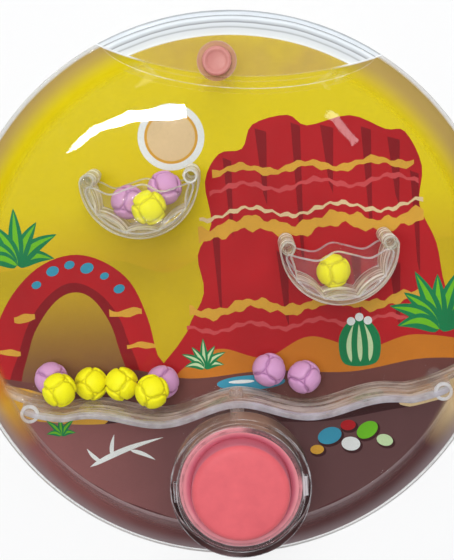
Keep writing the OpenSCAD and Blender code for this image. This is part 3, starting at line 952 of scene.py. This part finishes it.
# the balls' last colour is the painted shade in their grooves
YELLOW = soft_rubber("yellow_ball", linear(250, 244, 10), linear(244, 236, 4), 0.6, linear(206, 194, 2))
LILAC = soft_rubber("lilac_ball", linear(216, 160, 202), linear(206, 150, 194), 0.6, linear(156, 98, 148))

for node_name, material in (
    ("pump_barrel", CLEAR_BARREL), ("pump_nozzle", CLEAR_NOZZLE), ("cap_ring", CLEAR_RING),
    ("front_shell", dome_plastic()), ("back_shell", tray_plastic()), ("back_cover", cover_plastic()),
):
    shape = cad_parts[node_name].data
    shape.materials.clear()
    shape.materials.append(material)
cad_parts["front_shell"].visible_shadow = False


# Balls: foam rubber with overlapping round grooves

BALL_R = 4.4 * MM
GROOVE_ANGLE = math.radians(48)
GROOVE_WIDTH = 0.088
GROOVE_DEPTH = 0.5 * MM
LUMP = 0.04 * MM
POLES = [Vector(v) for v in ((1, 0, 0), (-1, 0, 0), (0, 1, 0), (0, -1, 0), (0, 0, 1), (0, 0, -1))]
BALL_TURNS = {
    "yellow": ((20, 24, 30), (5, 38, 40), (52, 10, 50), (58, 20, 12), (12, 8, 30), (8, 30, 12)),
    "lilac": ((30, 40, 20), (15, 50, 35), (25, 32, 62), (40, 28, 48), (35, 15, 70), (60, 20, 5)),
}


def add_ball(name, mat, turns):
    """A ball with grooves round its axes, turned by degrees about X, Y and Z and moved to its place."""
    low, high = node_box(name)
    centre = (low + high) / 2
    bm = bmesh.new()
    bmesh.ops.create_icosphere(bm, subdivisions=6, radius=1)
    groove_shade_mark = bm.verts.layers.float.new("groove")
    for v in bm.verts:
        d = v.co.normalized()
        dip = max(math.exp(-(((d.angle(p) - GROOVE_ANGLE) / GROOVE_WIDTH) ** 2)) for p in POLES)
        # how much painted shade the groove gets, stored on the mesh
        v[groove_shade_mark] = min(1, dip ** 3 * 0.8)
        lump = noise.noise(d * 1.6 + centre * 900) * LUMP
        v.co = d * (BALL_R - GROOVE_DEPTH * dip + lump - LUMP)
    turn = Matrix.Identity(4)
    for axis, degrees in zip("XYZ", turns):
        turn = Matrix.Rotation(math.radians(degrees), 4, axis) @ turn
    bmesh.ops.transform(bm, matrix=Matrix.Translation(centre) @ turn, verts=bm.verts)
    ball = add_object(name + "_foam", bm, [mat], angle=180)
    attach(ball, name)
    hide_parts(name)


for tint, rubber in (("yellow", YELLOW), ("lilac", LILAC)):
    for number, turns in enumerate(BALL_TURNS[tint], 1):
        add_ball(f"ball_{tint}_{number}", rubber, turns)


# Catch baskets: thick scalloped walls between two thin wavy plates

FLOOR_TOP = SHELF_LOW.z / MM
HORN_R = 1.95
HORN_IN = 2.1
PLATE_T = 1.1
WALL_STEPS, PLATE_STEPS, LIP_STEPS = 72, 60, 20
SCALLOP_STEPS, HORN_STEPS = 144, 8


def scallop(a):
    """Inner radius of a basket's wall, with five lobes along the cup."""
    return 13.6 - 1.7 * abs(math.sin(5 * a)) ** 0.6


def lower_half(radius, angle):
    """A point on the lower half circle, counted from its left end."""
    return radius * math.cos(math.pi + angle), radius * math.sin(math.pi + angle)


def basket_wall(radius, horn_x):
    """Outline of the cup's wall: round outside, scalloped inside, with a round horn at each end."""
    wall = [lower_half(radius, math.pi * k / WALL_STEPS) for k in range(WALL_STEPS + 1)]
    wall += arc(horn_x, 0, HORN_R, 20, 170, 10)
    angles = [math.pi * k / SCALLOP_STEPS for k in range(HORN_STEPS, SCALLOP_STEPS - HORN_STEPS + 1)]
    wall += [lower_half(scallop(a), a) for a in reversed(angles)]
    return wall + arc(-horn_x, 0, HORN_R, 10, 160, 10)


def basket_plate(radius, flip):
    """Outline of a plate that closes the cup: the half circle and a wavy lip between the horns."""
    reach = radius - 1.1
    start = math.asin(2.2 / reach)
    step = (math.pi - 2 * start) / PLATE_STEPS
    plate = [lower_half(reach, start + step * k) for k in range(PLATE_STEPS + 1)]
    end_x = plate[-1][0]
    for k in range(1, 2 * LIP_STEPS):
        x = end_x * (1 - k / LIP_STEPS)
        wave = 0.95 * math.cos(2 * math.pi * x / (radius * 0.88)) + 0.18 * math.sin(x * flip)
        plate.append((x, wave - 2.1))
    return plate


def add_basket(name, flip):
    low, high = node_box(name)
    radius = (high.x - low.x) / 2 / MM
    at = Vector(((low.x + high.x) / 2 / MM, low.y / MM + radius))
    top = high.z / MM
    horn_x = radius - HORN_IN
    bm = bmesh.new()
    wall = [at + Vector(p) for p in basket_wall(radius, horn_x)]
    slab(bm, wall, FLOOR_TOP + 0.02, top - 0.02, 0.4, wall_slot=0, cap_slot=1, edge_slot=3)
    plate = [at + Vector(p) for p in basket_plate(radius, flip)]
    for z0, z1 in ((FLOOR_TOP + 0.05, FLOOR_TOP + PLATE_T), (top - PLATE_T, top - 0.05)):
        slab(bm, plate, z0, z1, 0.42, wall_slot=2, cap_slot=1, edge_slot=2)
    post = [(1.25, FLOOR_TOP + 0.1), (1.75, FLOOR_TOP + 0.1)]
    post += [(1.75, top - 0.3), (1.55, top - 0.04), (1.3, top - 0.04)]
    for side in (-1, 1):
        revolve(bm, post, (at + Vector((side * horn_x, 0))) * MM, turns=32)
    basket = add_object(name + "_moulding", bm, [CLEAR_WALL, CLEAR_PLATE, CLEAR_LIP, CLEAR_EDGE], angle=50)
    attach(basket, "case")
    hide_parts(name)


add_basket("left_basket", 1)
add_basket("right_basket", -1)


# Wavy shelf: a thin wall on edge, with an eyelet round the post at each end

POST_X, POST_R = 51.8, 1.5
SHOULDER_AT, SHOULDER_R = (51, 9), 16.0
LOW_END_X, LOW_END_Z = 54.6, 12
SHELF_HALF = 0.7
SHELF_STEPS = 150


def shelf_line(x):
    """Height of the shelf's middle line on the face, in mm."""
    run = max(0.0, abs(x) - 43)
    return -(29.9 - 2.3 * (1 - abs(x) / 120) * math.cos(2 * math.pi * x / 38.5) - 0.5 * run ** 2 / (run + 2))


def shelf_top(x, y):
    """Front edge of the shelf: level, then drawn down under the dome's shoulder."""
    out = max(0.0, math.hypot(x, y) - SHOULDER_AT[0])
    if abs(x) > LOW_END_X:
        return LOW_END_Z - 0.02
    return min(SHELF_HIGH.z / MM, SHOULDER_AT[1] + math.sqrt(max(0.0, SHOULDER_R ** 2 - out ** 2)) - 0.1)


def shelf_row(bm, x):
    """The shelf's cross-section at x: back, sides and a front edge with small bevels."""
    y = shelf_line(x)
    slope = (shelf_line(x + 0.1) - shelf_line(x - 0.1)) / 0.2
    across = Vector((-slope, 1)).normalized()
    top = shelf_top(x, y)
    half = [
        (-SHELF_HALF, FLOOR_TOP + 0.02), (-SHELF_HALF, top - 0.35),
        (-SHELF_HALF + 0.1, top - 0.12), (-SHELF_HALF + 0.3, top),
    ]
    profile = half + [(-off, z) for off, z in reversed(half)]
    return [
        bm.verts.new(((x + across.x * off) * MM, (y + across.y * off) * MM, z * MM))
        for off, z in profile
    ]


def add_eyelet(bm, side):
    y = shelf_line(POST_X)
    top = shelf_top(side * POST_X, y)
    inner, outer, seat = POST_R + 0.1, POST_R + 0.85, top - 0.9
    post = [(inner, FLOOR_TOP + 0.05), (outer, FLOOR_TOP + 0.05), (outer, seat), (inner, seat)]
    ring = [(inner, seat), (outer, seat)]
    ring += arc(POST_R + 0.5, top - 0.5, 0.35, 0, 90, 4) + [(inner, top - 0.15)]
    for outline, slot in ((post, 3), (ring, 2)):
        revolve(bm, outline, (side * POST_X * MM, y * MM), turns=40, slot=slot)


def add_shelf():
    bm = bmesh.new()
    end = SHELF_HIGH.x / MM - 0.3
    rows = [shelf_row(bm, -end + 2 * end * k / SHELF_STEPS) for k in range(SHELF_STEPS + 1)]
    size = len(rows[0])
    for a, b in zip(rows, rows[1:]):
        for k in range(size):
            n = (k + 1) % size
            face = bm.faces.new((a[k], a[n], b[n], b[k]))
            lowest = min(v.co.z for v in face.verts)
            face.material_index = 1 if k in (2, 3, 4) and lowest > LOW_END_Z * MM else 0
    bm.faces.new(rows[0][::-1])
    bm.faces.new(rows[-1])
    for side in (-1, 1):
        add_eyelet(bm, side)
    shelf = add_object("wavy_shelf_wall", bm, [CLEAR_SIDE, CLEAR_STRIP, CLEAR_EYELET, CLEAR_PLATE], angle=50)
    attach(shelf, "case")
    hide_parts("wave_shelf")


add_shelf()


# Thumb cap: one rubber moulding over the pump's crown and rim

def add_cap():
    top = CROWN_HIGH.z / MM
    seat = RIM_LOW.z / MM
    rim_top = RIM_HIGH.z / MM
    outer = (RIM_HIGH.x - RIM_LOW.x) / 2 / MM
    crown = (CROWN_HIGH.x - CROWN_LOW.x) / 2 / MM
    wall = 1.5
    edge = 1.9
    lip = 0.45
    outline = [(outer, seat + 0.15)]
    outline += arc(outer - lip, rim_top - lip, lip, 0, 90, 5)
    outline += [(outer - 1.0, rim_top), (outer - 1.5, rim_top - 0.12), (crown + 1.0, rim_top - 0.3)]
    outline += [(crown + 0.45, rim_top - 0.7), (crown + 0.12, rim_top - 1.2)]
    outline += [(crown, rim_top - 0.6 + (top - edge - rim_top) * t / 8) for t in range(0, 8)]
    outline += arc(crown - edge, top - 0.4 - edge, edge, 0, 84, 10)
    outline += [(r, top - 0.34 * (r / (crown - edge)) ** 2) for r in (9.4, 8, 6.5, 5, 3.5, 2, 0.8)]
    outline += [(0, top), (0, top - wall)]
    outline += [(crown - edge, top - wall - 0.4), (crown - wall, top - edge - wall)]
    outline += [(crown - wall, rim_top + 0.4), (crown - wall, seat + 0.05), (outer - 0.3, seat + 0.05)]
    bm = bmesh.new()
    revolve(bm, outline, PUMP_AT, turns=160)
    cap = add_object("thumb_cap", bm, [CORAL], angle=60)
    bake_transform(cap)
    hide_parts("pump_cap_crown", "pump_cap_rim")


add_cap()


# Filler plug: rounded head with a dished middle, and a stem that narrows at its foot

def add_plug():
    low, high = PLUG_LOW.z / MM, PLUG_HIGH.z / MM
    head = (PLUG_HIGH.x - PLUG_LOW.x) / 2 / MM
    stem = head - 0.67
    seat = high - 1.75
    outline = [(0, low + 0.1), (stem - 0.5, low + 0.1), (stem - 0.1, low + 0.5)]
    outline += [(stem, low + 0.9), (stem, seat), (head, seat)]
    outline += arc(head - 0.6, high - 0.6, 0.6, 0, 90, 6)
    outline += [(head - 0.9, high), (head - 1.2, high - 0.25), (head - 1.6, high - 0.4), (0, high - 0.35)]
    bm = bmesh.new()
    revolve(bm, outline, PLUG_AT, turns=64)
    plug = add_object("soft_plug", bm, [PLUG_PINK], angle=50)
    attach(plug, "plug")
    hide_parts("filler_plug")


add_plug()


# Printed card: the inks in one flat sheet, its rim and its white back

CARD_TURNS = 128


def add_card():
    bm = PRINT.build()
    loops = []
    for z in (PRINT_Z - 0.02 * MM, CARD_LOW.z + 0.02 * MM):
        angles = [2 * math.pi * k / CARD_TURNS for k in range(CARD_TURNS)]
        loops.append([bm.verts.new((CARD_R * math.cos(a), CARD_R * math.sin(a), z)) for a in angles])
    front, back = loops
    for k in range(CARD_TURNS):
        n = (k + 1) % CARD_TURNS
        bm.faces.new((front[n], front[k], back[k], back[n])).material_index = INK_NAMES.index("ochre")
    for loop in (front, back[::-1]):
        bm.faces.new(loop).material_index = INK_NAMES.index("white")
    sheet = add_object("printed_card", bm, INKS, smooth=False)
    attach(sheet, "case")
    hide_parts("picture_card")


add_card()


# Floor, world and lamps

FLOOR_HALF = 3.0
SKY_LIGHT = (0.93, 0.96, 1.0)
WINDOW_HEIGHT = 0.83
LAMP_AIM = Vector((0, 0, 0.015))


def add_floor():
    bm = bmesh.new()
    corners = ((-1, -1), (1, -1), (1, 1), (-1, 1))
    bm.faces.new([bm.verts.new((x * FLOOR_HALF, y * FLOOR_HALF, 0)) for x, y in corners])
    mat, tree = new_material("paper_floor")
    paper = plain_shader(tree, "Diffuse", (0.86, 0.86, 0.86))
    glow = add_node(tree, "Emission", Color=(1, 1, 1), Strength=1.0).outputs[0]
    seen = add_node(tree, "LightPath").outputs["Is Camera Ray"]
    surfaced(mat, mix_shaders(tree, times(tree, seen, 0.7), paper, glow))
    floor = add_object("floor", bm, [mat], smooth=False)


def background(tree, colour, strength):
    return add_node(tree, "Background", Color=colour, Strength=strength).outputs[0]


def add_world():
    """White to the camera, dim in reflections, and a soft light for the rest."""
    world = bpy.data.worlds.new("studio")
    world.use_nodes = True
    scene.world = world
    tree = world.node_tree
    tree.nodes.clear()
    path = add_node(tree, "LightPath")
    soft, dim = background(tree, SKY_LIGHT, 0.42), background(tree, SKY_LIGHT, 0.13)
    light = mix_shaders(tree, path.outputs["Is Glossy Ray"], soft, dim)
    white = background(tree, (1, 1, 1), 1.0)
    add_node(tree, "OutputWorld", Surface=mix_shaders(tree, path.outputs["Is Camera Ray"], light, white))


def add_lamp(name, at, size_x, size_y, power):
    data = bpy.data.lights.new(name, "AREA")
    data.shape = "RECTANGLE"
    data.size = size_x
    data.size_y = size_y
    data.energy = power
    lamp = bpy.data.objects.new(name, data)
    lamp.location = at
    lamp.rotation_mode = "QUATERNION"
    lamp.rotation_quaternion = (LAMP_AIM - Vector(at)).to_track_quat("-Z", "Y")
    scene.collection.objects.link(lamp)
    return lamp


add_floor()
add_world()
# panes of a window, seen only as reflections
for pane, x, y, size_x, size_y, turn, power in (
    ("window_left", -0.2116, 0.1288, 0.125, 0.058, -32, 2.3),
    ("window_low", -0.1466, 0.0886, 0.064, 0.018, 16, 0.52),
    ("window_middle", -0.1343, 0.0995, 0.046, 0.015, -11, 0.31),
    ("window_right", -0.086, 0.0965, 0.07, 0.0145, 4, 0.46),
    ("far_window", 0.136, 0.066, 0.05, 0.009, -52, 0.01),
):
    glint = add_lamp(pane, (x, y, WINDOW_HEIGHT), size_x, size_y, power)
    glint.rotation_quaternion = Matrix.Rotation(math.radians(turn), 3, "Z").to_quaternion()
    glint.visible_diffuse = False
fill = add_lamp("overhead", (-0.1, 0.25, 1.1), 0.6, 0.6, 7.2)
fill.visible_glossy = False
add_lamp("softbox", (0.05, 0.75, 0.75), 0.7, 0.5, 3)
scene.view_settings.view_transform = "Standard"
scene.cycles.max_bounces = 12
scene.cycles.transparent_max_bounces = 48
